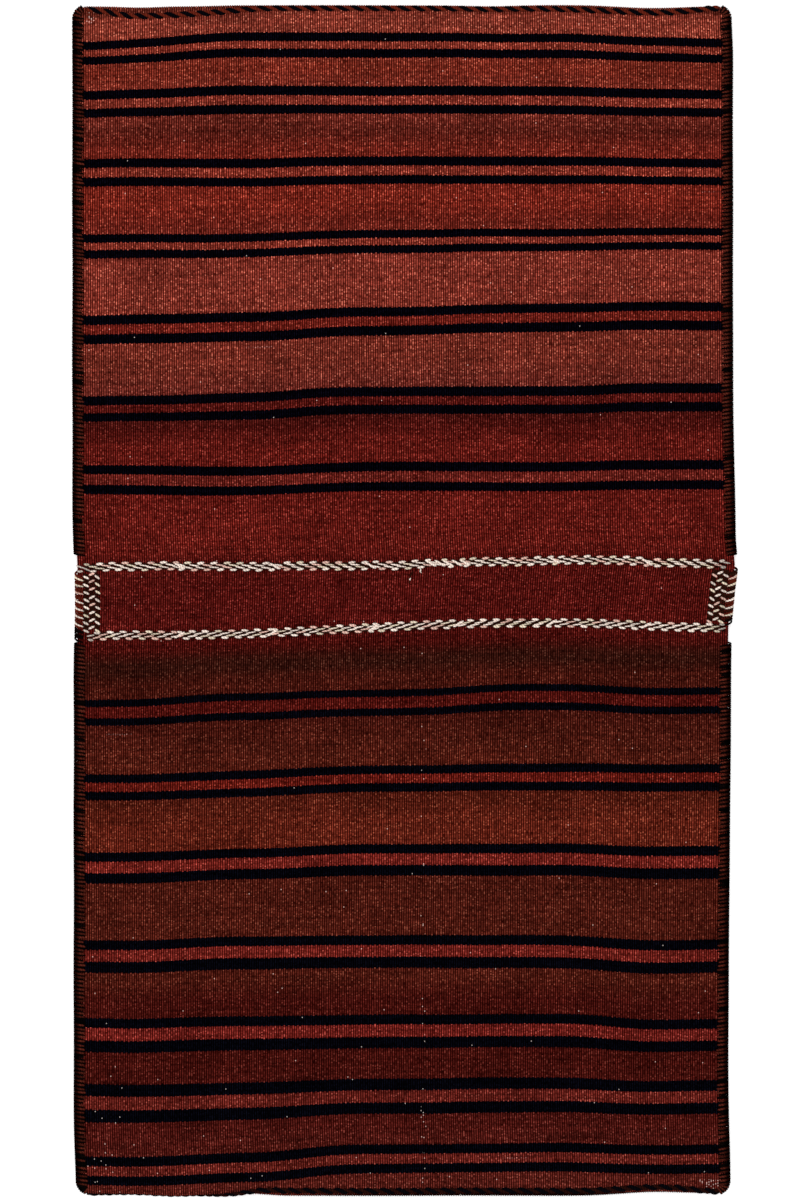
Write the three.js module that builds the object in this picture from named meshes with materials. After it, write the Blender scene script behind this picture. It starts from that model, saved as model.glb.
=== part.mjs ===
// A double saddle bag of flat-woven wool, lying empty with its back upwards.
// One long woven strip makes the back, the bridge and both pocket faces: each end is folded under and comes
// back towards the bridge, and the two layers are oversewn together down their sides.
// Millimetres, +Z up. X runs across the bag, Y along it, and the origin is under its middle, on the ground.
import * as THREE from "three";
import { mergeVertices } from "three/addons/utils/BufferGeometryUtils.js";

// Driving dimensions
const BAG_WIDTH = 580; // over the side bindings
const BAG_LENGTH = 1046; // over the twined cords at the two folds
const CLOTH = 2.5; // thickness of the weave
const YARN = 2.2; // thickness of a binding or twining yarn
const GAP = 0.3; // clearance between pieces that touch
const POCKET_HEIGHT = 14; // of an empty pocket at its middle, over both layers
const UPPER_MOUTH_Y = 41; // where the upper pocket's face ends, beside the bridge
const LOWER_MOUTH_Y = -37;

// Worked out from those
const CLOTH_EDGE = BAG_WIDTH / 2 - YARN - GAP - 0.5; // half the strip's width
const CLOTH_END = BAG_LENGTH / 2 - YARN - GAP; // outside of the fold
const SEAM_FLAT = 9; // the outermost band, where the two layers lie together
const SEAM_LOW = YARN + GAP; // underside of the cloth inside a binding
const SEAM_HEIGHT = 2 * CLOTH + 2 * GAP; // both layers, sewn together
const SLOPE_START = CLOTH_EDGE - SEAM_FLAT;
const SLOPE_WIDTH = 44; // from the seam up to the level middle
const CORNER_RADIUS = 10; // of the folded corners, seen from above
const FOLD_STEPS = 8; // facets round each fold

const mix = THREE.MathUtils.lerp;
const ease = THREE.MathUtils.smoothstep;

// How far the pocket has risen, from 0 at the seam to 1 over its level middle.
function rise(x) {
  return ease(SLOPE_START - Math.abs(x), 0, SLOPE_WIDTH);
}
const lowAt = (x) => mix(SEAM_LOW, 0, rise(x)); // underside of a pocket's face
const heightAt = (x) => mix(SEAM_HEIGHT, POCKET_HEIGHT, rise(x)); // over both layers
const topAt = (x) => lowAt(x) + heightAt(x); // upper side of the back

// How far the fold is drawn in at a corner, so that the corner is round from above.
function cornerDrop(x) {
  const over = Math.max(0, Math.abs(x) - (CLOTH_EDGE - CORNER_RADIUS));
  return CORNER_RADIUS - Math.sqrt(CORNER_RADIUS ** 2 - Math.min(over, CORNER_RADIUS) ** 2);
}
const foldCentreY = (x) => CLOTH_END - cornerDrop(x) - heightAt(x) / 2;

// A closed solid through a row of outlines that all have the same number of points.
// outlineAt gives the outline at a station, anticlockwise, and place puts one of its points in space.
function loft(stations, outlineAt, place) {
  const positions = [];
  const faces = [];
  const outlines = stations.map(outlineAt);
  const count = outlines[0].length;
  outlines.forEach((outline, i) => {
    outline.forEach((p) => positions.push(...place(stations[i], p)));
  });
  for (let i = 0; i + 1 < stations.length; i++) {
    for (let j = 0; j < count; j++) {
      const here = i * count;
      const next = here + count;
      const k = (j + 1) % count;
      faces.push(here + j, here + k, next + k, here + j, next + k, next + j);
    }
  }
  const last = (stations.length - 1) * count;
  for (const [a, b, c] of THREE.ShapeUtils.triangulateShape(outlines[0], [])) faces.push(c, b, a);
  for (const [a, b, c] of THREE.ShapeUtils.triangulateShape(outlines.at(-1), [])) {
    faces.push(last + a, last + b, last + c);
  }
  const geometry = new THREE.BufferGeometry();
  geometry.setAttribute("position", new THREE.Float32BufferAttribute(positions, 3));
  geometry.setIndex(faces);
  return mergeVertices(geometry, 1e-4);
}

// Stations run along +X, with outlines of (y, z), or along -Y, with outlines of (x, z).
const alongX = (x, p) => [x, p.x, p.y];
const alongY = (y, p) => [p.x, y, p.y];

const bag = new THREE.Group();
function add(name, geometry, material) {
  const mesh = new THREE.Mesh(geometry, material);
  mesh.name = name;
  bag.add(mesh);
}

const wool = (color) => new THREE.MeshStandardMaterial({ color, roughness: 0.9, metalness: 0 });
const madderWeave = wool("#7c2f24");
const darkBinding = wool("#2a1210");
const creamAndBrown = wool("#c9b09a");
const navyAndRust = wool("#3a1c1c");

// The woven strip: one outline of the whole folded length, with an open pocket at each end.
function arc(centreY, centreZ, radius, from, to) {
  const points = [];
  for (let i = 1; i < FOLD_STEPS; i++) {
    const angle = mix(from, to, i / FOLD_STEPS);
    const y = centreY + radius * Math.cos(angle);
    points.push(new THREE.Vector2(y, centreZ + radius * Math.sin(angle)));
  }
  return points;
}

function stripOutline(x) {
  const low = lowAt(x);
  const top = topAt(x);
  const middle = (low + top) / 2;
  const outer = heightAt(x) / 2;
  const inner = outer - CLOTH;
  const end = foldCentreY(x);
  const point = (y, z) => new THREE.Vector2(y, z);
  return [
    point(UPPER_MOUTH_Y, low),
    point(end, low),
    ...arc(end, middle, outer, -Math.PI / 2, Math.PI / 2),
    point(end, top),
    point(UPPER_MOUTH_Y, top),
    point(LOWER_MOUTH_Y, top),
    point(-end, top),
    ...arc(-end, middle, outer, Math.PI / 2, (3 * Math.PI) / 2),
    point(-end, low),
    point(LOWER_MOUTH_Y, low),
    point(LOWER_MOUTH_Y, low + CLOTH),
    point(-end, low + CLOTH),
    ...arc(-end, middle, inner, (3 * Math.PI) / 2, Math.PI / 2),
    point(-end, top - CLOTH),
    point(LOWER_MOUTH_Y, top - CLOTH),
    point(UPPER_MOUTH_Y, top - CLOTH),
    point(end, top - CLOTH),
    ...arc(end, middle, inner, Math.PI / 2, -Math.PI / 2),
    point(end, low + CLOTH),
    point(UPPER_MOUTH_Y, low + CLOTH),
  ];
}

const slopeStations = [1, 0.75, 0.5, 0.25, 0].map((share) => SLOPE_START - share * SLOPE_WIDTH);
const rightStations = [...slopeStations, CLOTH_EDGE - 4, CLOTH_EDGE - 1.5, CLOTH_EDGE];
const stripStations = [...rightStations.map((x) => -x).reverse(), 0, ...rightStations];
add("woven_strip", loft(stripStations, stripOutline, alongX), madderWeave);

// Yarn wrapped over an edge of the cloth: a channel that holds the cloth between `low` and `high`.
// Each station is a place along Y and how far the channel's outside is drawn in there.
function edgeWrap(side, stations, reach, low, high) {
  const slot = CLOTH_EDGE + GAP;
  const shoulder = YARN * 0.9;
  const knees = reach < SLOPE_START ? [reach, SLOPE_START] : [reach];
  const outlineAt = ([, drawnIn]) => {
    const outside = BAG_WIDTH / 2 - drawnIn;
    const corner = Math.min(shoulder, outside - slot);
    const profile = [
      ...knees.map((x) => [x, high(x) + GAP]).reverse(),
      ...knees.map((x) => [x, high(x) + GAP + YARN]),
      [outside - corner, high(slot) + GAP + YARN],
      [outside, high(slot) + GAP + YARN - corner],
      [outside, low(slot) - GAP - YARN + corner],
      [outside - corner, low(slot) - GAP - YARN],
      ...knees.map((x) => [x, low(x) - GAP - YARN]).reverse(),
      ...knees.map((x) => [x, low(x) - GAP]),
      [slot, low(slot) - GAP],
      [slot, high(slot) + GAP],
    ];
    const outline = profile.map(([x, z]) => new THREE.Vector2(side * x, z));
    return side > 0 ? outline.reverse() : outline;
  };
  return loft(stations, outlineAt, ([y], p) => alongY(y, p));
}

// Side bindings: dark and rust yarns oversewn round both layers, from the mouth to the folded corner.
const BINDING_REACH = BAG_WIDTH / 2 - 10;
const BINDING_END = CLOTH_END - 7;
for (const [hand, side] of [["left", -1], ["right", 1]]) {
  const upper = [[BINDING_END, 1.8], [BINDING_END - 6, 0], [UPPER_MOUTH_Y, 0]];
  add(`upper_pocket_binding_${hand}`, edgeWrap(side, upper, BINDING_REACH, lowAt, topAt), darkBinding);
  const lower = [[LOWER_MOUTH_Y, 0], [6 - BINDING_END, 0], [-BINDING_END, 1.8]];
  add(`lower_pocket_binding_${hand}`, edgeWrap(side, lower, BINDING_REACH, lowAt, topAt), darkBinding);
}

// Mouth bindings: the oversewn free edge of each pocket's face, beside the bridge.
const MOUTH_BINDING = { wide: 6, high: 4.2 };
function mouthBinding(edgeY, towardsBridge) {
  const near = edgeY + towardsBridge * GAP;
  const far = near + towardsBridge * MOUTH_BINDING.wide;
  const [y0, y1] = [Math.min(near, far), Math.max(near, far)];
  const outlineAt = (x) => {
    const low = lowAt(x);
    const high = Math.min(low + MOUTH_BINDING.high, topAt(x) - CLOTH - GAP); // it lies under the back
    const soft = 1.2;
    return [
      [y0 + soft, low], [y1 - soft, low], [y1, low + soft], [y1, high - soft],
      [y1 - soft, high], [y0 + soft, high], [y0, high - soft], [y0, low + soft],
    ].map(([y, z]) => new THREE.Vector2(y, z));
  };
  const stations = stripStations.filter((x) => Math.abs(x) <= SLOPE_START);
  return loft(stations, outlineAt, alongX);
}
add("upper_mouth_binding", mouthBinding(UPPER_MOUTH_Y, -1), darkBinding);
add("lower_mouth_binding", mouthBinding(LOWER_MOUTH_Y, 1), darkBinding);

// Stations for a yarn that lies across the cloth: the strip's own, so that it follows the slopes, and some
// between them, so that it can curve.
const levelHalf = SLOPE_START - SLOPE_WIDTH;
const between = [...Array(19).keys()].map((i) => mix(-levelHalf, levelHalf, i / 18));
const ownStations = stripStations.filter((x) => Math.abs(x) > levelHalf && Math.abs(x) <= SLOPE_START);
const acrossCloth = [...ownStations, ...between].sort((a, b) => a - b);

// Twined rows: four lines of cream and brown yarn across the cloth, above and below the bridge.
const ROW_WIDTH = 9.5;
const upperRowY = (x) => 30 + 5 * Math.exp(-(((x - 130) / 95) ** 2));
const lowerRowY = (x) => -33 + 12 * ease(x, -250, 110) - 3.5 * ease(x, 140, 280);
function twinedRow(rowY) {
  const outlineAt = (x) => {
    const [centre, level] = [rowY(x), topAt(x) + GAP];
    return [
      [centre - ROW_WIDTH / 2, level], [centre + ROW_WIDTH / 2, level],
      [centre + ROW_WIDTH / 2 - 1, level + YARN], [centre - ROW_WIDTH / 2 + 1, level + YARN],
    ].map(([y, z]) => new THREE.Vector2(y, z));
  };
  return loft(acrossCloth, outlineAt, alongX);
}
add("bridge_twining_upper", twinedRow(upperRowY), creamAndBrown);
add("bridge_twining_lower", twinedRow(lowerRowY), creamAndBrown);

// Wrapped columns: herringbone stitches over the single layer at the bridge's two side edges.
const COLUMN_REACH = SLOPE_START - SLOPE_WIDTH / 4;
const backUnderside = (x) => topAt(x) - CLOTH;
for (const [hand, side] of [["left", -1], ["right", 1]]) {
  const edgeX = side * CLOTH_EDGE;
  const from = lowerRowY(edgeX) + ROW_WIDTH / 2 + 1;
  const to = upperRowY(edgeX) - ROW_WIDTH / 2 - 1;
  const wrap = edgeWrap(side, [[to, 0], [from, 0]], COLUMN_REACH, backUnderside, topAt);
  add(`bridge_wrapping_${hand}`, wrap, creamAndBrown);
}

// Fold twinings: a navy and a rust yarn twined along each fold. `quarter` is how far round the bend it lies:
// 0 where the back starts to turn down, 1 at the outside of the fold, and less than 0 up on the back.
function foldTwining(end, quarter) {
  const outlineAt = (x) => {
    const bend = heightAt(x) / 2;
    const angle = (Math.PI / 2) * (1 - Math.max(0, quarter(x)));
    const out = bend + GAP + YARN / 2;
    const centreY = foldCentreY(x) + Math.min(0, quarter(x)) * bend + out * Math.cos(angle);
    const centreZ = lowAt(x) + bend + out * Math.sin(angle);
    return [...Array(6).keys()].map((i) => {
      const turn = (i * Math.PI) / 3;
      const y = centreY + (YARN / 2) * Math.cos(turn);
      return new THREE.Vector2(y, centreZ + (YARN / 2) * Math.sin(turn));
    });
  };
  if (end > 0) return loft(acrossCloth, outlineAt, alongX);
  return loft(acrossCloth.toReversed(), outlineAt, (x, p) => [x, -p.x, p.y]);
}
const upperQuarter = (x) => mix(1, -0.4, ease(Math.abs(x - 10), 40, 240));
const lowerQuarter = (x) => mix(1.2, 0.5, ease(x, -190, 60));
add("upper_fold_twining", foldTwining(1, upperQuarter), navyAndRust);
add("lower_fold_twining", foldTwining(-1, lowerQuarter), navyAndRust);

export default bag;
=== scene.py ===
import math

import bpy
import numpy as np
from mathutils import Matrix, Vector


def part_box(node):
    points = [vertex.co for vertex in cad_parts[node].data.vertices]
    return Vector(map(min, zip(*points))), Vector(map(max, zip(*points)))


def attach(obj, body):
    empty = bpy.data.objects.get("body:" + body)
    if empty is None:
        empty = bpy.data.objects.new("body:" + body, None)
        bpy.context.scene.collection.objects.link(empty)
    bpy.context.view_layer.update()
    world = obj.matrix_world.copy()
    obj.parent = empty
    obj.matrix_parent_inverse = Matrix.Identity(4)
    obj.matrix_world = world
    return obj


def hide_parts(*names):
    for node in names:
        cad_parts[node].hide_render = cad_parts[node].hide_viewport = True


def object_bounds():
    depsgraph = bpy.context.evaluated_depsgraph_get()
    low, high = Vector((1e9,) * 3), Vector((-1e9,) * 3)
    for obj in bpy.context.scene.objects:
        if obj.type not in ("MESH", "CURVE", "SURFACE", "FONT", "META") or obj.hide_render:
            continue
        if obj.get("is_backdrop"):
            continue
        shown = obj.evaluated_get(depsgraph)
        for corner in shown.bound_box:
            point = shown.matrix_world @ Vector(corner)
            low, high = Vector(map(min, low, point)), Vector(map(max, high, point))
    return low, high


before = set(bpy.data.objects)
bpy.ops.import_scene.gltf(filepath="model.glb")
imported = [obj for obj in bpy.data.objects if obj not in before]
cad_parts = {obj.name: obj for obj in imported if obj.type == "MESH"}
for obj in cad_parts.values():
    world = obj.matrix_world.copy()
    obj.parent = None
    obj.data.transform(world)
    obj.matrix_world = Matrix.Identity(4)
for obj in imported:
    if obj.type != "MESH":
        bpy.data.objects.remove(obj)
cad_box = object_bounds()


# ---------------------------------------------------------------- The woven strip
# One long strip of handspun wool makes the back, the bridge and both pocket faces. It is a weft-faced
# plain weave: the madder and navy wefts are beaten down until they hide the warps, which show as ribs.
# Each end is folded under and comes back to the bridge, so that two pockets lie under one back.
MM = 0.001  # lengths here are in millimetres, and become metres where a mesh is made
RIBS = 287
RIB_HEIGHT = 0.42
CLOTH = 2.2  # thickness from the outside to the inside
PICK = 1.15  # height of one bead of weft on a rib
CORNER = 10.0  # radius of the folded corners
SEAM = 9.0  # the flat band at the sides, where the two layers are sewn together
SLOPE = 44.0  # from the seam in to the level middle of the pocket
FOLD_SLACK = 1.2  # the fold's ease past the straight strip
YARN_OVER_SEAM = 2.5  # height of the binding over the seam, and under it

strip_low, strip_high = (np.array(corner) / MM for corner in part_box("woven_strip"))
HALF_WIDTH = strip_high[0]
FOLD = strip_high[1] + FOLD_SLACK
LEVEL = strip_high[2]
seam_low, seam_high = (np.array(corner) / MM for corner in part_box("upper_pocket_binding_left"))
SEAM_BOTTOM = seam_low[2] + YARN_OVER_SEAM
SEAM_TOP = seam_high[2] - YARN_OVER_SEAM
UPPER_MOUTH = seam_low[1]
LOWER_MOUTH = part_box("lower_pocket_binding_left")[1][1] / MM


def ease(x, start, end):
    """0 before start, 1 after end, and smooth between them."""
    t = np.clip((x - start) / (end - start), 0, 1)
    return t * t * (3 - 2 * t)


def hump(x, centre, width):
    """1 at the centre, falling smoothly to 0 on both sides."""
    return np.exp(-(((x - centre) / width) ** 2))


def mix(a, b, t):
    """a where t is 0, and b where t is 1."""
    return a + (b - a) * t


def wander(seed, length, x, y=0.0):
    """The drift of handwork, from -1 to 1, in waves about `length` long."""
    rng = np.random.default_rng(seed)
    total = 0.0
    for _ in range(5):
        heading, phase = rng.uniform(0, 2 * math.pi, 2)
        wave = 2 * math.pi / (length * rng.uniform(0.6, 1.6))
        total = total + np.sin(wave * (x * math.cos(heading) + y * math.sin(heading)) + phase)
    return total / 5


def left_edge(y):
    """The cloth's left edge, drawn in a little by the bridge and at the bottom corner."""
    drawn_in = 1.3 * (1 - ease(y, -100, 140)) + 1.2 * hump(y, 5, 50) + 1.8 * hump(y, -522, 45)
    return -HALF_WIDTH - 0.8 + drawn_in + 0.3 * wander(11, 90, y)


def right_edge(y):
    """The cloth's right edge, which bulges above the bridge and steps in below it."""
    drawn_in = 1.8 * (1 - ease(y, -28, 10)) + 2.3 * (1 - ease(y, -400, -60)) - 1.8 * hump(y, -512, 50)
    bulge = 2.4 * hump(y, 60, 75) + 2.4 * hump(y, 30, 16) - 1.4 * ease(y, 475, 520)
    return HALF_WIDTH + 1.1 + bulge - drawn_in + 0.3 * wander(12, 90, y)


def from_edge(x, y):
    """Distance in from the nearer side edge."""
    return np.minimum(x - left_edge(y), right_edge(y) - x)


def back_top(x, y):
    """Height of the back: low in the sewn seams, level over the pockets, and slack between them."""
    plump = ease(from_edge(x, y), SEAM, SEAM + SLOPE)
    slack = 1.6 * hump(y, 0, 45) + 0.5 * (1 + wander(21, 150, x, y))
    return SEAM_TOP + (LEVEL - SEAM_TOP - slack) * plump


def face_bottom(x, y):
    """Height of the pocket's face, which lies on the ground but for its seams."""
    return 0.5 + SEAM_BOTTOM * (1 - ease(from_edge(x, y), SEAM, SEAM + SLOPE))


def fold_line(x, end):
    """Where the fold reaches furthest, with its two round corners."""
    over = np.clip(CORNER - from_edge(x, end * FOLD), 0, CORNER)
    drawn_in = CORNER - np.sqrt(CORNER**2 - over**2) + 1.6 * hump(x, 222, 38)
    if end > 0:
        reach = 2.1 + 0.9 * ease(x, -190, -140) - 0.8 * ease(x, 150, 215)
        reach -= 1.2 * hump(x, -232, 24) + 0.9 * hump(x, 80, 28)
    else:
        reach = 1.7 * hump(x, -200, 26) + 2.0 * ease(x, -140, -100) - 1.6 * ease(x, 150, 230)
    return FOLD + reach - drawn_in + 0.3 * wander(31 + end, 120, x)


def upper_row(x):
    """Line of the twined row above the bridge."""
    return 30.5 + 5.4 * hump(x, 150, 130) - 1.4 * hump(x, -280, 18) + 0.8 * wander(41, 60, x)


def lower_row(x):
    """Line of the twined row below the bridge."""
    rise = 11 * ease(x, -200, 110) - 5 * ease(x, 130, 290) - 2.5 * hump(x, -292, 30)
    return -29.9 + rise + 0.8 * wander(42, 60, x)


# The pairs of navy stripes, from the top fold down: each stripe's height in the middle of the bag, the two
# widths, the dye between them, and how far the pair has slipped down at the four places across the bag.
BLUSH, CRIMSON, DUSK, WARM, POPPY = "#7c3025", "#621812", "#4e110e", "#64221c", "#70221d"
ACROSS = (-250, -150, 110, 250)
MIDDLE = -20
SLIP_SPREAD, MIDDLE_SPREAD = 62, 75  # how far to each side a place, and the level middle, are felt
STRIPE_PAIRS = [
    (495.7, 481.5, 7.8, 7.9, BLUSH, (6.8, -0.5, 0.8, 4)),
    (448.5, 432.2, 8.6, 8.0, BLUSH, (3.3, -0.5, 0, 2.5)),
    (386.9, 370.6, 8.2, 7.9, BLUSH, (1.5, 2.7, 0.5, 1.5)),
    (322.6, 309.3, 7.3, 7.3, BLUSH, (3.8, 3.5, -1.5, -3)),
    (254.2, 237.6, 8.4, 8.6, CRIMSON, (7, 5.3, -3.5, -5.5)),
    (184.2, 168.6, 8.5, 8.3, DUSK, (8.5, 6, 0, -2.5)),
    (118.2, 100.6, 8.5, 8.2, WARM, (2, 4.3, 0.2, -1.5)),
    (-81.2, -97.8, 6.6, 6.8, DUSK, (9.5, 3, -5.8, -2)),
    (-148.3, -163.8, 7.6, 7.8, CRIMSON, (8, 5.3, -1.3, -0.8)),
    (-217.8, -236.8, 8.4, 9.5, POPPY, (7.8, 4.1, -0.5, 2.5)),
    (-297.8, -317.6, 8.8, 10.1, POPPY, (5.5, 1, 0.3, 5.0)),
    (-367.8, -388, 8.9, 10.0, POPPY, (3.6, 1.8, -1, 4.6)),
    (-425, -445.8, 10.4, 10.1, WARM, (6, 3.8, -1.5, 1)),
    (-481.8, -498.8, 8.5, 8.4, WARM, (11.5, 8.5, -1.5, 0.6)),
]


def droop(x, y):
    """How far a weft has slipped down from its height at the middle."""
    upwards = STRIPE_PAIRS[::-1]
    heights = [(first + second) / 2 for first, second, *_ in upwards]
    total = hump(x, MIDDLE, MIDDLE_SPREAD)
    for at in ACROSS:
        total = total + hump(x, at, SLIP_SPREAD)
    slipped = 0.5 * wander(51, 100, x, y)
    for place, at in enumerate(ACROSS):
        here = np.interp(y, heights, [slips[place] for *_, slips in upwards])
        slipped = slipped + here * hump(x, at, SLIP_SPREAD) / total
    return slipped


def across_strip(columns, y):
    """Places of the ribs, which run nearly straight along the bag."""
    share = columns / RIBS
    inner = np.sin(math.pi * share) ** 0.5
    return mix(left_edge(y), right_edge(y), share) + 0.9 * inner * wander(61, 160, columns * 2, y)


ROW_NEAR, MOUTH_NEAR = 30, 36  # roughly where the bridge's rows and the mouths lie, for placing the ribs
FOLD_BLEND = (6, 40)  # the back flattens out over these distances from the fold


def fold_strip(columns, along, end):
    """Points of the cloth's outside, its outward directions, and the weft there.

    `along` is 0 at the bridge's row, 1 where the fold starts, 2 at its outside, 3 where it ends and 4 at
    the pocket's mouth. `end` is 1 for the upper pocket and -1 for the lower.
    """
    row = upper_row if end > 0 else lower_row
    mouth = UPPER_MOUTH if end > 0 else LOWER_MOUTH
    columns, along = np.meshgrid(columns, along)
    outgoing, returning = mix(ROW_NEAR, FOLD, along), mix(FOLD, MOUTH_NEAR, (along - 2) / 2)
    rough_y = np.where(along < 2, outgoing, returning)
    rough_y = end * np.minimum(rough_y, FOLD)
    x = across_strip(columns, rough_y)
    start = row(x)
    half = (back_top(x, end * FOLD) - face_bottom(x, end * FOLD)) / 2
    centre_z = face_bottom(x, end * FOLD) + half
    bend_y = end * (fold_line(x, end) - half)
    turn = np.clip(2 - along, -1, 1) * math.pi / 2
    y = bend_y + end * half * np.cos(turn)
    y = np.where(along < 1, mix(start, bend_y, along), y)
    y = np.where(along > 3, mix(bend_y, mouth, along - 3), y)
    flat_share = ease(FOLD - np.abs(y), *FOLD_BLEND)
    on_top = mix(centre_z + half, back_top(x, y), flat_share)
    z = centre_z + half * np.sin(turn)
    z = np.where(along < 1, on_top, z)
    z = np.where(along > 3, face_bottom(x, y), z)
    outward = np.stack([0 * x, end * np.cos(turn), np.sin(turn)], -1)
    weft = y + end * half * (math.pi / 2 - np.abs(turn) - np.cos(turn)) + droop(x, y)
    return np.stack([x, y, z], -1), outward, weft


def wear(x, y):
    """Share of the picks that are worn through to the pale warp, most of them near the corners."""
    corners = 0.8 * hump(x, -275, 2.5) * hump(y, 513, 3) + 0.5 * hump(x, 271, 7) * hump(y, -513, 4)
    corners += 0.014 * hump(x, -262, 25) * hump(y, -470, 50)
    crease = hump(x, 18, 1.4) * (0.05 * ease(-y, 90, 110) + 0.1 * ease(-y, 440, 450))
    return corners + crease + 0.0004 + 0.0008 * ease(-y, 200, 500)


LINES = 4  # lines of points to each rib on the outside of the cloth, to one on the inside


def closed_cloth(name, columns, outside, outward, weft, end, material):
    """A sheet of cloth with its thickness, closed all round."""
    rows, wide = weft.shape
    ribbed = outside + outward * (RIB_HEIGHT * np.cos(2 * math.pi * columns))[None, :, None]
    inside = (outside - outward * CLOTH)[:, ::LINES]
    narrow = inside.shape[1]
    fine = np.arange(rows * wide).reshape(rows, wide)
    coarse = fine.size + np.arange(rows * narrow).reshape(rows, narrow)
    way_round = slice(None, None, end)

    def quads(a, b, c, d):
        return np.stack([a, b, c, d], -1).reshape(-1, 4)[:, way_round].tolist()

    faces = quads(fine[:-1, :-1], fine[:-1, 1:], fine[1:, 1:], fine[1:, :-1])
    faces += quads(coarse[:-1, :-1], coarse[1:, :-1], coarse[1:, 1:], coarse[:-1, 1:])
    faces += quads(fine[:-1, 0], fine[1:, 0], coarse[1:, 0], coarse[:-1, 0])
    faces += quads(fine[1:, -1], fine[:-1, -1], coarse[:-1, -1], coarse[1:, -1])
    for k in range(narrow - 1):
        rib = slice(LINES * k, LINES * k + LINES + 1)
        first = [coarse[0, k], coarse[0, k + 1], *fine[0, rib][::-1]]
        last = [*fine[-1, rib], coarse[-1, k + 1], coarse[-1, k]]
        faces += [first[way_round], last[way_round]]
    points = np.concatenate([ribbed.reshape(-1, 3), inside.reshape(-1, 3)]) * MM
    mesh = bpy.data.meshes.new(name)
    mesh.from_pydata(points.tolist(), [], faces)
    ribs_here = np.broadcast_to(columns, (rows, wide))
    worn_here = wear(outside[..., 0], outside[..., 1])
    for label, grid in (("rib", ribs_here), ("weft", weft), ("wear", worn_here)):
        values = np.concatenate([grid.ravel(), grid[:, ::LINES].ravel()])
        attribute = mesh.attributes.new(label, "FLOAT", "POINT")
        attribute.data.foreach_set("value", values.astype(np.float32))
    mesh.shade_smooth()
    mesh.materials.append(material)
    piece = bpy.data.objects.new(name, mesh)
    bpy.context.scene.collection.objects.link(piece)
    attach(piece, "root")
    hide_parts("woven_strip")
    return piece


def dye(code):
    """A colour from its web code, such as "#7a2c21"."""
    parts = [int(code[i : i + 2], 16) / 255 for i in (1, 3, 5)]
    linear = [((p + 0.055) / 1.055) ** 2.4 if p > 0.04045 else p / 12.92 for p in parts]
    return (*linear, 1.0)


class Wool:
    """The finish of one wool: its shader, and short calls that add nodes and join them up."""

    def __init__(self, name):
        self.material = bpy.data.materials.new(name)
        self.material.use_nodes = True
        self.tree = self.material.node_tree
        self.shader = self.tree.nodes["Principled BSDF"]

    def node(self, kind, **settings):
        made = self.tree.nodes.new(kind)
        for setting, value in settings.items():
            setattr(made, setting, value)
        return made

    def join(self, value, socket):
        if isinstance(value, bpy.types.NodeSocket):
            self.tree.links.new(value, socket)
        else:
            socket.default_value = value

    def read(self, label):
        """A value that the mesh carries."""
        return self.node("ShaderNodeAttribute", attribute_name=label).outputs["Fac"]

    def calc(self, operation, *values):
        made = self.node("ShaderNodeMath", operation=operation)
        for value, socket in zip(values, made.inputs):
            self.join(value, socket)
        return made.outputs[0]

    def wave(self, operation, turns):
        """SINE or COSINE of a number of whole turns."""
        return self.calc(operation, self.calc("MULTIPLY", turns, 2 * math.pi))

    def blend(self, kind, share, first, second):
        made = self.node("ShaderNodeMix", data_type="RGBA", blend_type=kind)
        self.join(share, made.inputs["Factor"])
        self.join(first, made.inputs["A"])
        self.join(second, made.inputs["B"])
        return made.outputs["Result"]

    def darken(self, colour, light):
        """The colour under this share of light."""
        grey = self.node("ShaderNodeCombineColor")
        for socket in grey.inputs[:3]:
            self.join(light, socket)
        return self.blend("MULTIPLY", 1.0, colour, grey.outputs[0])

    def place(self, x, y):
        made = self.node("ShaderNodeCombineXYZ")
        self.join(x, made.inputs[0])
        self.join(y, made.inputs[1])
        return made.outputs[0]

    def chance(self, x, y):
        """A number from 0 to 1 that has nothing to do with its neighbours'."""
        made = self.node("ShaderNodeTexWhiteNoise", noise_dimensions="2D")
        self.join(self.place(x, y), made.inputs["Vector"])
        return made.outputs["Value"]

    def cloud(self, x, y):
        """A number around 0.5 that drifts smoothly from place to place."""
        made = self.node("ShaderNodeTexNoise", noise_dimensions="2D")
        made.inputs["Scale"].default_value = 1.0
        self.join(self.place(x, y), made.inputs["Vector"])
        return made.outputs["Fac"]

    def steps(self, position, stops):
        """The colour at a position from 0 to 1 between the stops."""
        made = self.node("ShaderNodeValToRGB")
        self.join(position, made.inputs["Fac"])
        elements = made.color_ramp.elements
        while len(elements) < len(stops):
            elements.new(0.5)
        for element, (at, colour) in zip(elements, sorted(stops)):
            element.position = at
            element.color = colour
        return made.outputs["Color"]

    def finish(self, colour, relief, depth):
        """Sets the colour and a fine relief, as deep as `depth`, on matt wool without gloss."""
        self.join(colour, self.shader.inputs["Base Color"])
        bump = self.node("ShaderNodeBump")
        bump.inputs["Distance"].default_value = depth * MM
        self.join(relief, bump.inputs["Height"])
        self.join(bump.outputs["Normal"], self.shader.inputs["Normal"])
        self.shader.inputs["Roughness"].default_value = 0.95
        self.shader.inputs["Specular IOR Level"].default_value = 0.0
        return self.material


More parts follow.
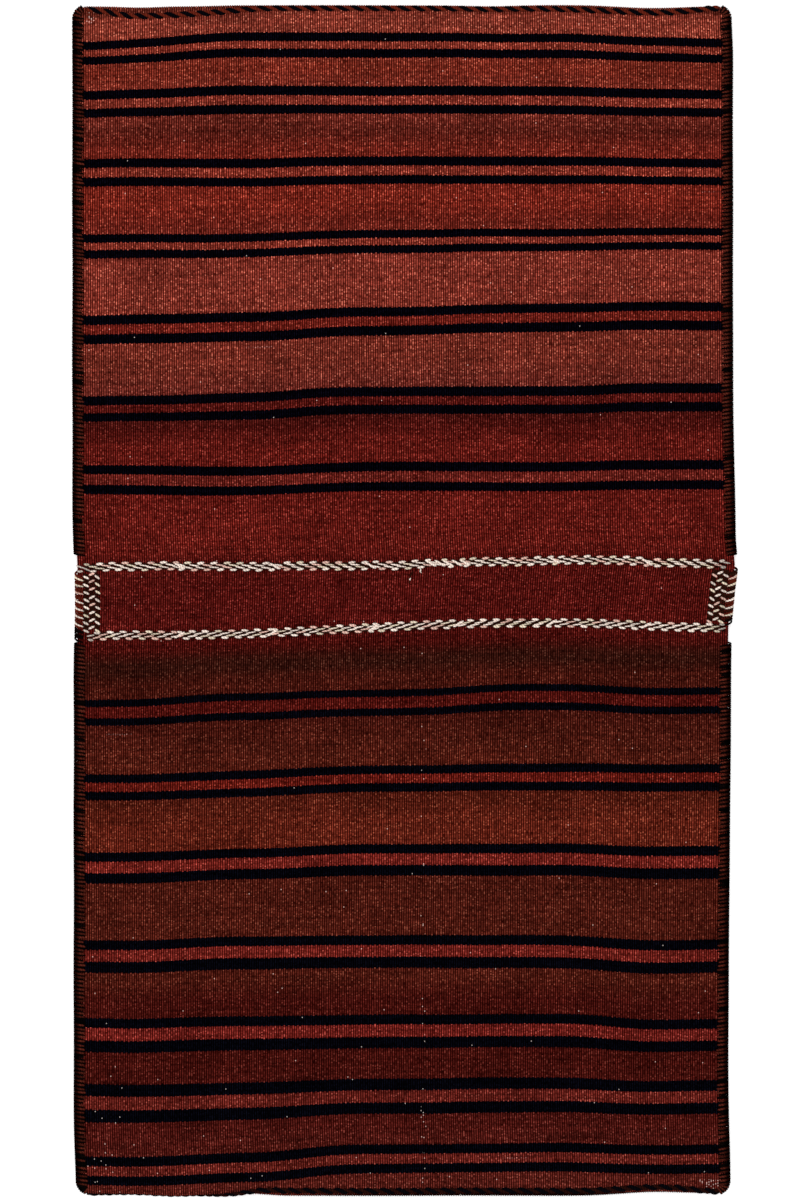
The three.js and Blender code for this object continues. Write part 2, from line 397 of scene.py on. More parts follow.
# The dye lots of the ground, from the top fold down, each at the height where it shows fully.
ROSE, FADED, MADDER, DEEP = "#7f362a", "#772f25", "#6b231a", "#5d1914"
WINE, DARK_WINE, WALNUT, BRICK, RUSSET = "#4f1310", "#40110d", "#33130d", "#5b2015", "#4a1a12"
DYE_LOTS = [
    (512, ROSE), (496, ROSE), (470, "#6d261b"), (440, FADED), (414, "#551e17"),
    (398, MADDER), (350, "#74251b"), (335, "#642018"), (300, FADED), (268, FADED), (215, "#6d2b21"),
    (190, "#62261f"), (160, "#43110e"), (138, DEEP), (50, DEEP), (26, WINE), (-22, WINE),
    (-36, "#450f0c"), (-48, WALNUT), (-56, WALNUT), (-66, "#43160f"), (-100, "#40140e"),
    (-122, RUSSET), (-175, "#501c12"), (-192, BRICK), (-214, BRICK), (-245, RUSSET),
    (-330, RUSSET), (-348, DARK_WINE), (-405, DARK_WINE), (-460, "#471511"), (-512, "#541e18"),
]
WOVEN_REACH = 545.0  # the ramp of dye lots runs this far each way from the middle
BETWEEN_SHARE = 0.75  # how far the dye between two stripes covers the lot around them
# Tints of the painted shade in the rib valleys, the painted highlight on the crests, and the painted glint
# on a few beads.
VALLEY_SHADE_TINT, CREST_HIGHLIGHT_TINT, GLINT_TINT = (0.3, 0.17, 0.15, 1), (2.3, 2.5, 2.5, 1), (1.7, 2.6, 2.6, 1)
GLINT_LUCK, RUN_LUCK = 0.92, 0.9998  # picks luckier than these glint, or are faintly paled in a run
# Painted shade round the outside of the fold: the weft where it begins, and the length over which it
# deepens.
FOLD_SHADE_FROM, FOLD_SHADE_OVER = 517.5, 5.0
WORN_WARP = "#ecdcd2"


def kilim_wool(name, pairs, navy, fold_shade):
    """Ribs of beaten-down weft in slowly changing madder, crossed by `pairs` of stripes."""
    wool = Wool(name)
    calc = wool.calc
    rib, weft = wool.read("rib"), wool.read("weft")
    warp = calc("ROUND", rib)
    odd = calc("MODULO", warp, 2.0)
    crest = calc("MULTIPLY_ADD", wool.wave("COSINE", rib), 0.5, 0.5)
    bead_at = calc("MULTIPLY_ADD", odd, 0.5, calc("DIVIDE", weft, PICK))
    bead = calc("SINE", calc("MULTIPLY", calc("FRACT", bead_at), math.pi))
    pick = calc("FLOOR", bead_at)
    luck = wool.chance(warp, pick)

    # Stripe edges are finely toothed, because every second rib shows the other shed.
    tooth = calc("MULTIPLY_ADD", odd, 0.5, calc("MULTIPLY", wool.chance(warp, 7.3), 0.5))
    height = calc("ADD", weft, calc("SUBTRACT", tooth, 0.5))
    share = calc("DIVIDE", calc("ADD", height, WOVEN_REACH), 2 * WOVEN_REACH)
    lots = [((at + WOVEN_REACH) / (2 * WOVEN_REACH), dye(lot)) for at, lot in DYE_LOTS]
    colour = wool.steps(share, lots)
    striped = 0.0
    for first, second, first_width, second_width, between, _ in pairs:
        near_pair = calc("COMPARE", height, (first + second) / 2, (first - second) / 2)
        colour = wool.blend("MIX", calc("MULTIPLY", near_pair, BETWEEN_SHARE), colour, dye(between))
        striped = calc("ADD", striped, calc("COMPARE", height, first, first_width / 2))
        striped = calc("ADD", striped, calc("COMPARE", height, second, second_width / 2))
    colour = wool.blend("MIX", striped, colour, dye(navy))

    # Handspun yarn takes the dye unevenly: by patch, by rib, and from one pick of weft to the next.
    patches = wool.cloud(calc("MULTIPLY", warp, 0.05), calc("DIVIDE", weft, 45))
    streaks = wool.cloud(calc("MULTIPLY", warp, 0.8), calc("DIVIDE", weft, 22))
    wefts = wool.cloud(calc("MULTIPLY", warp, 0.025), calc("DIVIDE", weft, 2.0))
    light = calc("MULTIPLY_ADD", streaks, 0.5, calc("MULTIPLY_ADD", patches, 0.7, -0.1))
    light = calc("MULTIPLY_ADD", wefts, 1.1, light)
    colour = wool.darken(colour, light)

    # Painted light on the ribs: a painted highlight on the crests, bead by bead, and painted shade in the
    # valleys between them.
    beads = wool.cloud(calc("MULTIPLY", warp, 3.7), calc("DIVIDE", weft, 2.6))
    spark = calc("MULTIPLY", calc("POWER", luck, 6.0), 2.4)
    crest_highlight = calc("ADD", calc("MULTIPLY_ADD", beads, 2.1, -0.46), spark)
    crest_highlight = calc("MAXIMUM", calc("MULTIPLY", calc("POWER", crest, 2.2), crest_highlight), 0.0)
    valley_shade = wool.blend("MULTIPLY", 1.0, colour, VALLEY_SHADE_TINT)
    pale = wool.blend("MULTIPLY", 1.0, colour, CREST_HIGHLIGHT_TINT)
    colour = wool.blend("MIX", crest_highlight, valley_shade, pale)
    # Painted glint: a few lucky beads high on the crests, outside the stripes, are lit brighter still.
    glint = calc("MULTIPLY", calc("GREATER_THAN", luck, GLINT_LUCK), calc("POWER", crest, 3.0))
    glint = calc("MULTIPLY", glint, calc("SUBTRACT", 1.0, striped))
    colour = wool.blend("MIX", glint, colour, wool.blend("MULTIPLY", 1.0, colour, GLINT_TINT))

    # Painted shade: the cloth is darkened round the outside of the fold, where it curves down away from
    # the light.
    beyond = calc("DIVIDE", calc("SUBTRACT", calc("ABSOLUTE", weft), FOLD_SHADE_FROM), FOLD_SHADE_OVER)
    fold_shading = calc("MULTIPLY", calc("MINIMUM", calc("MAXIMUM", beyond, 0.0), 1.0), fold_shade)
    colour = wool.darken(colour, calc("SUBTRACT", 1.0, fold_shading))

    # Here and there a pick is worn through to the pale warp on one rib, and in rare runs a dozen ribs in a
    # row are faintly paled along one pick.
    run = wool.chance(calc("FLOOR", calc("MULTIPLY", warp, 0.08)), pick)
    worn = calc("GREATER_THAN", luck, calc("SUBTRACT", 1.0, wool.read("wear")))
    faint = calc("MULTIPLY", calc("MULTIPLY", calc("GREATER_THAN", run, RUN_LUCK), luck), 0.4)
    worn = calc("MAXIMUM", worn, faint)
    worn = calc("MULTIPLY", worn, calc("MULTIPLY", calc("POWER", crest, 6.0), bead))
    colour = wool.blend("MIX", worn, colour, dye(WORN_WARP))
    return wool.finish(colour, calc("MULTIPLY", bead, crest), 0.2)


NAVY, BLUER_NAVY = "#040308", "#040409"
upper_pairs, lower_pairs = STRIPE_PAIRS[:7], STRIPE_PAIRS[7:]
# The last number is how deep the painted shade round the outside of the fold is.
upper_weave = kilim_wool("upper_pocket_weave", upper_pairs, NAVY, 0.5)
lower_weave = kilim_wool("lower_pocket_weave", lower_pairs, BLUER_NAVY, 0.93)
bridge_weave = kilim_wool("bridge_weave", [], NAVY, 0.0)

# Rows of points along a pocket's back, closer together towards the fold, and along its face.
rib_lines = np.arange(LINES * RIBS + 1) / LINES
back_rows, fold_rows, face_rows = 55, 9, 26
pocket_back = np.sin(np.linspace(0, math.pi / 2, back_rows))
pocket_back = np.concatenate([pocket_back, np.linspace(1, 2, fold_rows)[1:]])
pocket_face = np.concatenate([np.linspace(2, 3, fold_rows), np.linspace(3, 4, face_rows)[1:]])
for label, end, weave in (("upper", 1, upper_weave), ("lower", -1, lower_weave)):
    for part, along in (("back", pocket_back), ("face", pocket_face)):
        outside, outward, weft = fold_strip(rib_lines, along, end)
        piece = closed_cloth(f"{label}_pocket_{part}", rib_lines, outside, outward, weft, end, weave)

bridge_rows = 10
columns, share = np.meshgrid(rib_lines, np.linspace(0, 1, bridge_rows))
bridge_x = across_strip(columns, mix(-ROW_NEAR, ROW_NEAR, share))
bridge_y = mix(lower_row(bridge_x), upper_row(bridge_x), share)
bridge_points = np.stack([bridge_x, bridge_y, back_top(bridge_x, bridge_y)], -1)
bridge_up = np.broadcast_to([0.0, 0.0, 1.0], bridge_points.shape)
bridge_weft = bridge_y + droop(bridge_x, bridge_y)
bridge = closed_cloth("bridge_cloth", rib_lines, bridge_points, bridge_up, bridge_weft, 1, bridge_weave)


# ---------------------------------------------------------------- Side bindings
# Down each side the two layers are oversewn together, one turn of yarn beside the next, thick red-brown
# and thin black-brown in turn. They grip the edge from both sides and carry on round the folded corner.
BINDING_TURN = 1.75  # from one turn to the next
BINDING_DEPTH = 7.2  # how far in from the edge the yarn reaches
BINDING_SLANT = 2.2
CORNER_TURNS = 7
THICK_YARN, THIN_YARN = (2.3, 1.7), (1.7, 1.6)  # width and height
HALF_YARN = 0.9
SNUG = 0.4  # how far the yarn is pulled in at the edge
BULGE, BULGE_LOST = 3.1, 1.4  # how far a turn stands out, and how much less it does round the corner


def yarn_wool(name, code):
    """Two-ply handspun yarn: the plies twist round each other, and take the dye unevenly."""
    wool = Wool(name)
    calc = wool.calc
    twist = calc("MULTIPLY_ADD", wool.read("along"), 0.42, calc("MULTIPLY", wool.read("around"), 2.0))
    ply = calc("MULTIPLY_ADD", wool.wave("SINE", twist), 0.5, 0.5)
    fibres = wool.node("ShaderNodeTexNoise", noise_dimensions="3D")
    fibres.inputs["Scale"].default_value = 900.0
    wool.join(wool.node("ShaderNodeTexCoord").outputs["Object"], fibres.inputs["Vector"])
    # Painted light and shade: the colour is lighter on the crown of each ply and darker in the groove
    # between the plies, and the fibres take the dye unevenly. It is then darkened by the grime and painted
    # shade that the mesh carries.
    light = calc("MULTIPLY_ADD", ply, 0.5, calc("MULTIPLY_ADD", fibres.outputs["Fac"], 0.9, 0.15))
    light = calc("MULTIPLY", light, calc("SUBTRACT", 1.0, wool.read("grime_and_shade")))
    return wool.finish(wool.darken(dye(code), light), ply, 0.25)


class YarnWork:
    """Lengths of yarn that make up one piece, each laid along a line of points."""

    def __init__(self, name, dyes):
        self.name = name
        self.dyes = dyes
        self.points, self.faces, self.dye_of_face = [], [], []
        self.along, self.around, self.grime_and_shade = [], [], []
        self.count = 0

    def lay(self, line, up, width, height, dyed, grime_and_shade=0.0, sides=7, taper=0.0):
        """Lays one yarn: `up` is the way it faces, and `taper` is how much its ends thin out."""
        line = np.asarray(line, float)
        steps = len(line)
        travel = np.gradient(line, axis=0)
        travel /= np.linalg.norm(travel, axis=1)[:, None]
        aside = np.cross(travel, np.broadcast_to(up, line.shape))
        aside /= np.linalg.norm(aside, axis=1)[:, None]
        over = np.cross(aside, travel)
        girth = 1 - taper * np.abs(np.linspace(-1, 1, steps)) ** 3
        angles = 2 * math.pi * np.arange(sides) / sides
        ring = (
            aside[:, None] * (np.cos(angles) * width / 2)[None, :, None]
            + over[:, None] * (np.sin(angles) * height / 2)[None, :, None]
        )
        self.points.append((line[:, None] + ring * girth[:, None, None]).reshape(-1, 3))
        length = np.concatenate([[0], np.cumsum(np.linalg.norm(np.diff(line, axis=0), axis=1))])
        turn = np.arange(sides)
        around = (np.stack([turn, turn + 1, turn + 1, turn], -1) / sides).ravel().tolist()
        for i in range(steps - 1):
            a = self.count + i * sides + turn
            b = self.count + i * sides + (turn + 1) % sides
            self.faces += np.stack([a, b, b + sides, a + sides], -1).tolist()
            self.along += [length[i], length[i], length[i + 1], length[i + 1]] * sides
            self.around += around
        last = self.count + (steps - 1) * sides
        self.faces += [(self.count + turn)[::-1].tolist(), (last + turn).tolist()]
        self.along += [0.0] * sides + [length[-1]] * sides
        self.around += [0.0] * (2 * sides)
        self.grime_and_shade.append(np.repeat(np.broadcast_to(grime_and_shade, steps), sides))
        self.dye_of_face += [self.dyes.index(dyed)] * ((steps - 1) * sides + 2)
        self.count += steps * sides

    def make(self, slot, *nodes):
        """Joins the yarns into one piece that stands for these CAD nodes."""
        mesh = bpy.data.meshes.new(self.name)
        mesh.from_pydata((np.concatenate(self.points) * MM).tolist(), [], self.faces)
        for label, domain, values in (
            ("along", "CORNER", self.along),
            ("around", "CORNER", self.around),
            ("grime_and_shade", "POINT", np.concatenate(self.grime_and_shade)),
        ):
            attribute = mesh.attributes.new(label, "FLOAT", domain)
            attribute.data.foreach_set("value", np.asarray(values, np.float32))
        for material in self.dyes:
            mesh.materials.append(material)
        mesh.polygons.foreach_set("material_index", self.dye_of_face)
        mesh.shade_smooth()
        piece = bpy.data.objects.new(self.name, mesh)
        bpy.context.scene.collection.objects.link(piece)
        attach(piece, "root")
        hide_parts(*nodes)


black_brown = yarn_wool("black_brown_yarn", "#0d0706")
red_brown = yarn_wool("red_brown_yarn", "#58241a")


def gripping_turn(reach, bulge):
    """One turn of yarn in the plane through the edge: distances outward, and heights."""
    middle = (SEAM_TOP + SEAM_BOTTOM) / 2
    half = (SEAM_TOP - SEAM_BOTTOM) / 2 + HALF_YARN
    turns = np.linspace(math.pi / 2, -math.pi / 2, 6)
    # Both ends of the turn dip into the cloth.
    on_top, beneath = [-reach, -0.85 * reach, -0.4 * reach], [-0.6 * reach, -reach]
    lift_on_top, lift_beneath = [-1.1, 0.05, 0.1], [-2 * half, 1.0 - 2 * half]
    out = np.concatenate([on_top, bulge * np.cos(turns) - SNUG, beneath])
    lift = np.concatenate([lift_on_top, (np.sin(turns) - 1) * half, lift_beneath])
    return out, middle + half + lift


def oversew(label, end, hand):
    """The turns of one side of one pocket, from its mouth to round its corner."""
    rng = np.random.default_rng(100 + 10 * end + hand)
    work = YarnWork(f"{label}_stitches", [black_brown, red_brown])
    edge = right_edge if hand > 0 else left_edge
    start = UPPER_MOUTH if end > 0 else -LOWER_MOUTH
    corner_y = float(fold_line(edge(end * FOLD) - hand * 1.1 * CORNER, end)) - CORNER
    straight = int((corner_y - start) / BINDING_TURN)
    for i in range(straight + CORNER_TURNS):
        thick = i % 2 == 1
        heading = max(0, i - straight) * BINDING_TURN / CORNER
        outward = np.array([hand * math.cos(heading), end * math.sin(heading), 0])
        forward = np.array([-hand * math.sin(heading), end * math.cos(heading), 0])
        y = start + BINDING_TURN * (min(i, straight) + 0.5) + rng.uniform(-0.2, 0.2)
        corner = np.array([edge(end * corner_y) - hand * CORNER, end * y, 0])
        at_edge = corner + outward * CORNER if heading else np.array([edge(end * y), end * y, 0])
        reach = BINDING_DEPTH * rng.uniform(0.8, 1.1) * (0.7 if heading else 1)
        out, high = gripping_turn(reach, BULGE - BULGE_LOST * heading)
        slant = -end * np.linspace(BINDING_SLANT, -BINDING_SLANT, len(out)) * rng.uniform(0.6, 1.2)
        slant = slant * (0.3 if heading else 1)
        line = at_edge + out[:, None] * outward + slant[:, None] * forward
        line[:, 2] = high
        away = np.stack([outward * share for share in ease(out, -3, 1.5)])
        away[:, 2] = np.linspace(1, -1, len(out))
        # Painted shade: each turn is darkened to nearly black towards the outside of the edge, where the
        # yarn curves away from the light, and less so at the corner; each turn also varies in tone at
        # random.
        grime_and_shade = np.maximum(0.92 * ease(out, -3.2, 0.2), rng.uniform(0, 0.6)) * (0.6 if heading else 1)
        dyed = red_brown if thick and rng.random() > 0.1 else black_brown
        width, height = THICK_YARN if thick else THIN_YARN
        work.lay(line, away, width, height, dyed, grime_and_shade, 6, 0.45)
    work.make("dark_binding", label)


for hand_name, hand in (("left", -1), ("right", 1)):
    oversew(f"upper_pocket_binding_{hand_name}", 1, hand)
    oversew(f"lower_pocket_binding_{hand_name}", -1, hand)


# ---------------------------------------------------------------- Mouth bindings
# The free edge of each pocket's face lies under the bridge. It is bound with the same two yarns, wound
# closely round the edge from one side of the mouth to the other.
WINDING = 4.4  # from one turn of a yarn to its next


def wound_edge(label):
    """Two yarns, half a turn apart, wound along the box of this binding."""
    low, high = (np.array(corner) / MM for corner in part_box(label))
    work = YarnWork(f"{label}_stitches", [black_brown, red_brown])
    centre_y = (low[1] + high[1]) / 2
    turns = int((high[0] - low[0]) / WINDING)
    for strand, dyed in enumerate((black_brown, red_brown)):
        angle = np.linspace(0, turns * 2 * math.pi, turns * 8) + strand * math.pi
        x = np.linspace(low[0] + 1.5, high[0] - 1.5, len(angle))
        y = centre_y + 2.0 * np.cos(angle)
        z = face_bottom(x, centre_y + 0 * x) + 1.8 + 1.1 * np.sin(angle)
        up = np.stack([0 * x, np.cos(angle), np.sin(angle)], -1)
        work.lay(np.stack([x, y, z], -1), up, 2.3, 1.2, dyed, sides=5)
    work.make("dark_binding", label)


wound_edge("upper_mouth_binding")
wound_edge("lower_mouth_binding")


# ---------------------------------------------------------------- Twined rows
# Above and below the bridge four lines of cream and dark brown yarn are twined over the warps. The outer
# lines are short fat stitches that lean one way, and the inner two are long thin ones that lean the other.
cream = yarn_wool("cream_yarn", "#fbe8da")
rosy_cream = yarn_wool("rosy_cream_yarn", "#ecc0b0")
straw_cream = yarn_wool("straw_cream_yarn", "#ead8bf")
dark_brown = yarn_wool("dark_brown_yarn", "#2c130c")
rust = yarn_wool("rust_yarn", "#5e2014")
CREAMS = (cream, cream, cream, rosy_cream, straw_cream)
STITCH = 5.7  # from one stitch to the next in a line
LINE_SPACING = 1.97
OUTER_STITCH, INNER_STITCH = (6.4, 2.4, 1.9), (9.6, 1.4, 1.5)  # length, width and height of a cream stitch
OUTER_RISE, INNER_RISE = 0.3, -0.65  # the two kinds of stitch lean opposite ways


def lay_on_back(work, x, y, lift, width, height, dyed, grime_and_shade, taper):
    """Lays a yarn on the cloth's back, its middle `lift` above it."""
    points = np.stack([x, y, back_top(x, y) + lift], -1)
    work.lay(points, (0, 0, 1), width, height, dyed, grime_and_shade, 7, taper)


def twined_row(label, row, lean, joins, seed):
    """Four lines of stitches, worked in lengths that start and end at the joins."""
    rng = np.random.default_rng(seed)
    work = YarnWork(f"{label}_stitches", [cream, rosy_cream, straw_cream, dark_brown])
    low, high = (np.array(corner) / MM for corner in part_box(label))
    through = np.linspace(-1, 1, 8)
    ends = [low[0] - (6 if lean > 0 else 2), *joins, high[0] + 8]
    for start, finish in zip(ends, ends[1:]):
        stagger = lean * STITCH * rng.choice([1.0, 1.0, 0.67])
        first = start + rng.uniform(0, STITCH)
        tilt = rng.normal(0, 0.08)
        for line_no in range(4):
            outer = line_no in (0, 3)
            offset = (1.5 - line_no) * LINE_SPACING
            kind_rise = OUTER_RISE if outer else INNER_RISE
            x = first + (line_no - 1.5) * stagger
            x -= 2 * STITCH * math.floor((x - start) / (2 * STITCH))
            stitch_no = 0
            while x < finish:
                at_join = max(float(hump(x, join, 4)) for join in joins)
                at_end = float(hump(x, ends[0] + 3, 9) + hump(x, ends[-1] - 2, 9))
                is_cream = stitch_no % 2 == 0
                rise = lean * kind_rise + tilt + rng.normal(0, 0.08 + 0.5 * at_end)
                length, width, height = OUTER_STITCH if outer else INNER_STITCH
                if is_cream:
                    middle, lift = offset + rng.normal(0, 0.1), 1.0
                else:
                    # The dark yarn shows as a shorter, thinner stitch, sunk between two cream ones.
                    middle, lift = offset * 0.86, 0.6
                    length, width = 0.8 * length, 1.3 if outer else 1.0
                length *= 1 - 0.25 * min(at_join + at_end, 1)
                across = x + through * length / 2
                y = row(across) + middle + rise * through
                lift = lift + 0.4 * at_join - 0.9 * through**2
                width *= rng.uniform(0.85, 1.12)
                dyed = CREAMS[rng.integers(len(CREAMS))] if is_cream else dark_brown
                grime_and_shade = min(rng.uniform(0, 0.25) + 0.45 * at_end, 0.8)
                lay_on_back(work, across, y, lift, width, height, dyed, grime_and_shade, 0.7)
                x += STITCH * rng.uniform(0.95, 1.05)
                stitch_no += 1
    # Dark yarn fills the ground between the stitches, where the passing yarn lies; it also serves as
    # painted shade in the gaps.
    across = np.linspace(low[0] - 2, high[0] + 4, 140)
    for offset in (-1.6, 0.0, 1.6):
        lay_on_back(work, across, row(across) + offset, 0.1, 2.0, 0.9, dark_brown, 0.1, 0.5)
    # Where one yarn ran out and the next began, thick stitches cross the lines.
    for join in joins:
        for shift, thick in ((-1.8, 1.9), (1.6, 2.3)):
            across = join + shift + through * 3.0
            y = row(across) - lean * (shift * 0.6 + 1.5 * through)
            lay_on_back(work, across, y, 1.5 - 0.7 * through**2, thick, 1.7, cream, 0.1, 0.6)
    return work


UPPER_JOINS = [-196, -112, -28, 25, 33, 40, 48, 55, 134, 215]
upper_work = twined_row("bridge_twining_upper", upper_row, 1, UPPER_JOINS, 201)
# Two ends of these yarns have worked loose by the middle, and one of them still has a cream tip. Each
# length's start, how far it hangs, and how far it sways.
LOOSE_ENDS = (
    (8.5, 27, 9, -2.2, dark_brown),
    (6.6, 20.6, 2.4, 0.2, cream),
    (6.4, 18, 2.5, -0.5, dark_brown),
    (15.5, 28.5, 3.8, 0.8, cream),
)
for start_x, start_y, fall, sway, dyed in LOOSE_ENDS:
    through = np.linspace(0, 1, 8)
    x = start_x + sway * through + 0.3 * np.sin(7 * through)
    y = start_y - fall * through
    lay_on_back(upper_work, x, y, 0.9 + 0.4 * np.sin(3 * through), 1.2, 1.1, dyed, 0.1, 0.5)
upper_work.make("cream_and_brown", "bridge_twining_upper")

LOWER_JOINS = [-196, -114, -25, 49, 131, 214]
lower_work = twined_row("bridge_twining_lower", lower_row, -1, LOWER_JOINS, 202)
lower_work.make("cream_and_brown", "bridge_twining_lower")


# ---------------------------------------------------------------- Bridge wrappings
# The bridge's two edges are covered with four columns of slanting stitches that lean in turn, one cream to
# two brown. The outermost column goes right round the edge, and the brown there gives way to rust.
CREAM_PITCH = 6.75  # from one cream stitch to the next in a column
EDGE_STITCH = 2.6  # how far the outermost column's stitches stand out round the edge
CREAM_WIDTH, BROWN_WIDTH, RUST_WIDTH = 2.1, 2.2, 2.4
# Each column's distance in from the edge, half its stitches' length, their lean, and its start.
INNER_COLUMNS = ((7.2, 2.6, 1.2, 0.0), (12.4, 2.7, -1.2, 3.0), (17.3, 2.3, 1.4, 0.4))


def wrap_bridge_edge(label, hand, seed):
    """The four columns on one edge of the bridge: `hand` is -1 at the left and 1 at the right."""
    rng = np.random.default_rng(seed)
    work = YarnWork(f"{label}_stitches", [cream, rosy_cream, straw_cream, dark_brown, rust, black_brown])
    edge = right_edge if hand > 0 else left_edge
    side_x = hand * (HALF_WIDTH - 12)
    bottom, top = lower_row(side_x) + 5.0, upper_row(side_x) - 2.0
    through = np.linspace(-1, 1, 8)

    def stitches(start):
        """Heights of a column's stitches, and whether each is cream."""
        count = int((top - start) / CREAM_PITCH * 3)
        for i in range(count):
            yield start + i * CREAM_PITCH / 3 + rng.uniform(-0.35, 0.35), i % 3 == 0

    for inward, half_length, lean, late in INNER_COLUMNS:
        for y, is_cream in stitches(bottom + late):
            dyed = CREAMS[rng.integers(len(CREAMS))] if is_cream else dark_brown
            tilt = lean * rng.uniform(0.75, 1.25)
            x = edge(y) - hand * (inward + rng.uniform(-0.3, 0.3)) + hand * through * half_length
            line_y = y - hand * through * tilt
            lift = (1.1 if is_cream else 0.7) - 0.9 * through**2
            width, grime_and_shade = (CREAM_WIDTH if is_cream else BROWN_WIDTH), rng.uniform(0, 0.4)
            lay_on_back(work, x, line_y, lift, width, 1.7, dyed, grime_and_shade, 0.6)
            beneath = np.stack([x, y + hand * through * tilt, back_top(x, line_y) - CLOTH - lift], -1)
            work.lay(beneath, (0, 0, -1), width, 1.7, dyed, grime_and_shade, 7, 0.6)
    turn = np.linspace(0, math.pi, 7)
    out = np.concatenate([[-5.2, -2.8], EDGE_STITCH * np.sin(turn) - 0.3, [-2.8, -5.2]])
    rim = CLOTH / 2 + HALF_YARN
    round_edge = np.concatenate([[rim - 0.7, rim], rim * np.cos(turn), [-rim, 0.7 - rim]])
    foot = bottom - 6.0 if hand < 0 else bottom + 1.0
    for y, is_cream in stitches(foot):
        between = rust if hand < 0 or rng.random() < 0.4 else dark_brown
        dyed = CREAMS[rng.integers(len(CREAMS))] if is_cream else between
        if y < bottom + 0.8 * CREAM_PITCH:
            dyed = black_brown
        x = edge(y) + hand * out
        line_y = y + np.linspace(-1, 1, len(out)) * rng.uniform(2.2, 4.2)
        z = float(back_top(edge(y) - hand * 3.2, y)) - CLOTH / 2 + round_edge
        up = np.stack([hand * ease(out, -1.5, 0.8), 0 * out, np.linspace(1, -1, len(out))], -1)
        width, grime_and_shade = (CREAM_WIDTH if is_cream else RUST_WIDTH), rng.uniform(0, 0.35)
        work.lay(np.stack([x, line_y, z], -1), up, width, 1.6, dyed, grime_and_shade, 7, 0.5)
    work.make("cream_and_brown", label)


wrap_bridge_edge("bridge_wrapping_left", -1, 301)
wrap_bridge_edge("bridge_wrapping_right", 1, 302)


# ---------------------------------------------------------------- Fold twinings
# Along each fold runs a pair of yarns, blue-black with rust above or umber below, twisted round each other
# and caught down at every turn. At the left the upper pair lies further in, and the lower one beneath.
blue_black = yarn_wool("blue_black_yarn", "#07060a")
umber = yarn_wool("umber_yarn", "#210c09")
TWIST = 13.6  # length of one turn of the pair
LIFT_SWING, SIDE_SWING = 0.8, 1.1  # how far each yarn swings out and aside as it twists
BLACK_WIDTH, PARTNER_WIDTH, TWINED_HEIGHT = 3.8, 2.9, 2.4


def twine_fold(label, end, partner, quarter):
    """Twines one fold.

    `quarter` gives the pair's place for each x: below 0 over the back, 0 on top of the fold, 1 at its
    outside, and 2 beneath it.
    """
    low, high = (np.array(corner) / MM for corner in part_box(label))
    work = YarnWork(f"{label}_stitches", [blue_black, partner])
    x = np.linspace(low[0], high[0], 520)
    half = (back_top(x, end * FOLD) - face_bottom(x, end * FOLD)) / 2
    centre_z = face_bottom(x, end * FOLD) + half
    place = quarter(x)
    turn = (math.pi / 2) * (1 - np.clip(place, 0, None))
    outward = np.stack([0 * x, end * np.cos(turn), np.sin(turn)], -1)
    bend_y = end * (fold_line(x, end) - half + np.minimum(place, 0) * half)
    core = np.stack([x, bend_y, centre_z], -1) + outward * (half + HALF_YARN)[:, None]
    tangent = np.stack([0 * x, -outward[:, 2], outward[:, 1]], -1)
    turns = x / TWIST - 2.0 * hump(x, -290, 120) / TWIST + 0.12 * wander(71 + end, 50, x)
    for strand, dyed in enumerate((blue_black, partner)):
        angle = 2 * math.pi * turns + strand * math.pi
        line = core + LIFT_SWING * np.cos(angle)[:, None] * outward
        line = line + SIDE_SWING * np.sin(angle)[:, None] * tangent
        work.lay(line, outward, BLACK_WIDTH if dyed is blue_black else PARTNER_WIDTH, TWINED_HEIGHT, dyed)
    work.make("navy_and_rust", label)


def on_upper_fold(x):
    """Over the back at the left, and on top of the fold from there on."""
    return mix(-0.35, 0.24, ease(x, -215, -110)) - 0.14 * ease(x, 90, 170)


def on_lower_fold(x):
    """Beneath the fold at the left, and on top of it from there on."""
    return mix(1.35, 0.08, ease(x, -190, -110))


twine_fold("upper_fold_twining", 1, rust, on_upper_fold)
twine_fold("lower_fold_twining", -1, umber, on_lower_fold)


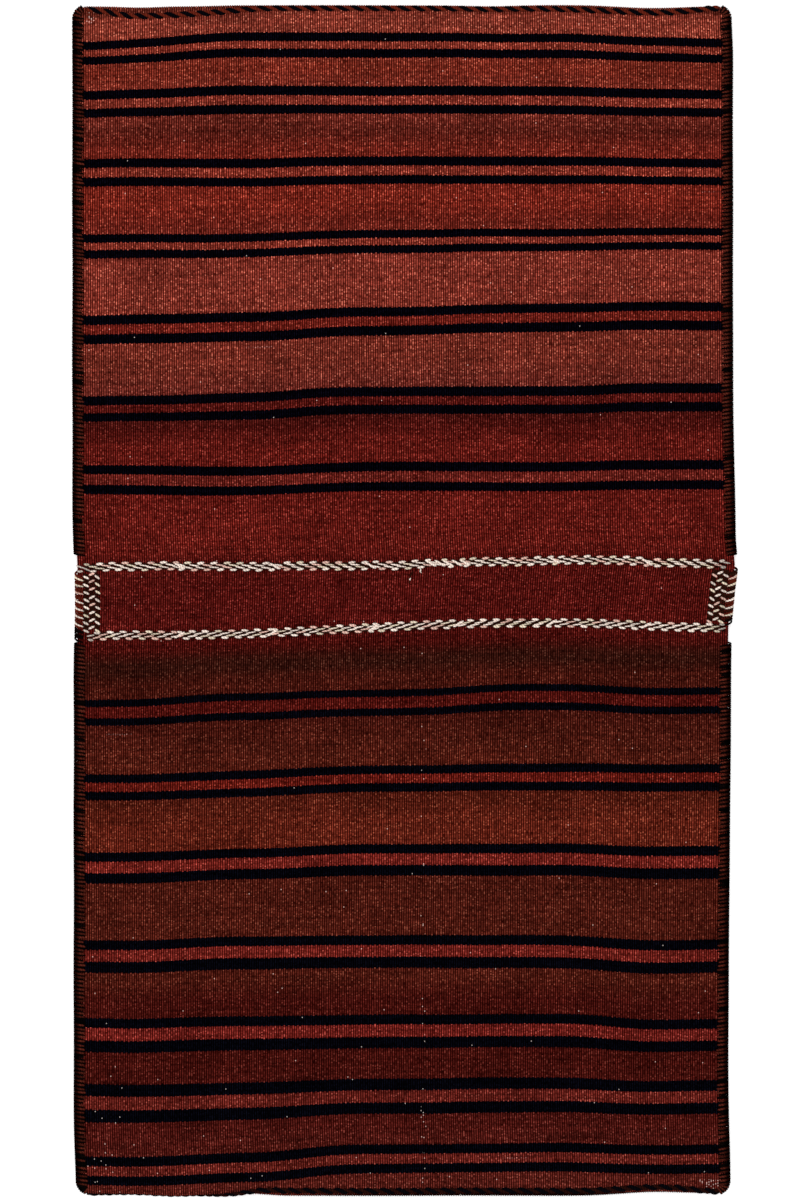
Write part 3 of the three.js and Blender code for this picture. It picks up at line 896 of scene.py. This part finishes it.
# ---------------------------------------------------------------- Studio
# The bag lies on a plain pale floor under a wide soft light, with a second, weaker one low at the left
# that brings up the ribs, and is seen from straight above.
FLOOR_REACH = 30.0
floor_finish = bpy.data.materials.new("pale_floor")
floor_finish.use_nodes = True
floor_shader = floor_finish.node_tree.nodes["Principled BSDF"]
floor_shader.inputs["Base Color"].default_value = (0.95, 0.95, 0.95, 1)
floor_shader.inputs["Roughness"].default_value = 0.9
floor_shader.inputs["Specular IOR Level"].default_value = 0.1
floor_shader.inputs["Emission Color"].default_value = (1, 1, 1, 1)
floor_shader.inputs["Emission Strength"].default_value = 0.25
floor_mesh = bpy.data.meshes.new("floor")
corners = [(-1, -1), (1, -1), (1, 1), (-1, 1)]
floor_mesh.from_pydata([(FLOOR_REACH * x, FLOOR_REACH * y, 0) for x, y in corners], [], [(0, 1, 2, 3)])
floor_mesh.materials.append(floor_finish)
floor = bpy.data.objects.new("floor", floor_mesh)
bpy.context.scene.collection.objects.link(floor)
floor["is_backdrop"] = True


def soft_light(name, position, size, power):
    """A square of light that faces the middle of the floor."""
    lamp = bpy.data.lights.new(name, "AREA")
    lamp.shape = "SQUARE"
    lamp.size = size
    lamp.energy = power
    light = bpy.data.objects.new(name, lamp)
    light.location = position
    light.rotation_mode = "QUATERNION"
    light.rotation_quaternion = light.location.to_track_quat("Z", "Y")
    bpy.context.scene.collection.objects.link(light)
    light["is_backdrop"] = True


soft_light("overhead_light", (0.0, 0.15, 2.8), 3.0, 46)
soft_light("side_light", (-2.4, 0.6, 1.2), 1.4, 9)
world = bpy.data.worlds.new("studio")
world.use_nodes = True
world.node_tree.nodes["Background"].inputs["Color"].default_value = (1, 1, 1, 1)
world.node_tree.nodes["Background"].inputs["Strength"].default_value = 0.8
bpy.context.scene.world = world

FRAME_LENGTH = 1.0545  # of ground along the bag that the camera takes in
CAMERA_HEIGHT = 3.0
camera_data = bpy.data.cameras.new("camera")
camera_data.sensor_width = 36
camera_data.lens = camera_data.sensor_width * CAMERA_HEIGHT / FRAME_LENGTH
camera = bpy.data.objects.new("camera", camera_data)
camera.location = (-0.0022, 0.0009, CAMERA_HEIGHT + LEVEL * MM)
bpy.context.scene.collection.objects.link(camera)
bpy.context.scene.camera = camera
bpy.context.scene.view_settings.view_transform = "Standard"

boxes = {"cad": cad_box, "visual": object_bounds()}
{label: [list(corner) for corner in box] for label, box in boxes.items()}
